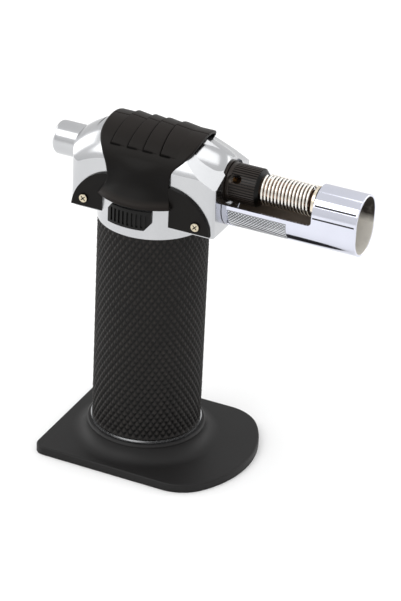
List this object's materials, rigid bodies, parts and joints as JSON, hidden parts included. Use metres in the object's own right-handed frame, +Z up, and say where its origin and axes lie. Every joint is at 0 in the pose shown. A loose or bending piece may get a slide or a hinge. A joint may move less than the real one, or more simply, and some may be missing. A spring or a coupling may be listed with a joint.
{
  "type": "butane torch",
  "caption": "Hand-held butane torch with knurled upright tank, sprung burner in a chrome flame guard, push-button igniter, side lock and a pull-off stand base.",
  "frame": {"origin": "on the tank's axis at the underside of the base", "axes": "+Z up along the tank, +X the way the flame points, -Y the side with the lock slider"},
  "size_m": [0.1234, 0.0634, 0.1345],
  "materials": {
    "black_plastic_base": "fine moulded texture",
    "seal_rubber": "smooth",
    "tank_shell": "drawn",
    "knurled_black_grip": "diamond knurl, black",
    "bright_trim": "polished",
    "chrome_casing": "satin chrome plate",
    "black_cover": "satin moulded",
    "screw_steel": "nickel plated",
    "black_slider": "moulded",
    "spring_steel": "heat-tinted wire",
    "brass": "turned",
    "burner_steel": "heat-tinted",
    "guard_chrome": "polished",
    "black_air_collar": "moulded",
    "igniter_plastic": "moulded",
    "hose_rubber": "smooth",
    "ceramic": "fired ceramic"
  },
  "bodies": {
    "torch": {"tank_seal": "seal_rubber", "refill_valve_seal": "seal_rubber", "fuel_tank": "tank_shell", "grip_sleeve": "knurled_black_grip", "grip_trim_ring": "bright_trim", "head_casing": "chrome_casing", "saddle_cover_near": "black_cover", "saddle_cover_far": "black_cover", "side_plate_near": "black_cover", "side_plate_far": "black_cover", "plate_screws": "screw_steel", "guard_screw": "screw_steel", "lever_pin": "screw_steel", "burner_spring": "spring_steel", "refill_valve_spring": "spring_steel", "spring_washer": "spring_steel", "refill_valve_body": "brass", "gas_pickup_tube": "brass", "gas_valve_body": "brass", "gas_jet": "brass", "flame_holder": "brass", "burner_tube": "burner_steel", "electrode_wire": "burner_steel", "nozzle_guard": "guard_chrome", "burner_flange": "black_air_collar", "piezo_igniter": "igniter_plastic", "igniter_bracket": "igniter_plastic", "gas_hose": "hose_rubber", "ignition_lead": "hose_rubber", "electrode_insulator": "ceramic"},
    "base": {"base_plate": "black_plastic_base", "base_grip_ring": "seal_rubber"},
    "button": {"ignition_button": "bright_trim", "igniter_plunger": "igniter_plastic", "button_spring": "spring_steel"},
    "lock": {"lock_slider": "black_slider"},
    "collar": {"air_collar": "black_air_collar"},
    "refill_stem": {"refill_valve_stem": "brass"},
    "lever": {"valve_lever": "igniter_plastic"},
    "gas_pin": {"gas_valve_pin": "brass"}
  },
  "joints": [
    {"name": "base_pull", "type": "slide", "parent": "torch", "child": "base", "axis": [0, 0, -1], "range_m": [0, 0.03]},
    {"name": "button_press", "type": "slide", "parent": "torch", "child": "button", "axis": [1, 0, 0], "range_m": [0, 0.006], "stiffness_N_per_m": 1500, "springref_m": -0.003},
    {"name": "lock_slide", "type": "hinge", "parent": "torch", "child": "lock", "pos_m": [0, 0, 0.1036], "axis": [0, 0, 1], "range_deg": [0, 10]},
    {"name": "air_collar_turn", "type": "hinge", "parent": "torch", "child": "collar", "pos_m": [0.037, 0, 0.1174], "axis": [1, 0, 0], "range_deg": [0, 60]},
    {"name": "refill_press", "type": "slide", "parent": "torch", "child": "refill_stem", "axis": [0, 0, 1], "range_m": [0, 0.001], "stiffness_N_per_m": 1500, "springref_m": -0.001, "deforming": ["refill_valve_spring"]},
    {"name": "lever_tip", "type": "hinge", "parent": "torch", "child": "lever", "pos_m": [-0.0085, 0, 0.1079], "axis": [0, -1, 0], "range_deg": [0, 4]},
    {"name": "gas_pin_lift", "type": "slide", "parent": "torch", "child": "gas_pin", "axis": [0, 0, 1], "range_m": [0, 0.0005]}
  ],
  "couplings": [
    {"joint": "lever_tip", "follows": "button_press", "rad_per_m": 11.6},
    {"joint": "gas_pin_lift", "follows": "button_press", "ratio": 0.0833}
  ]
}
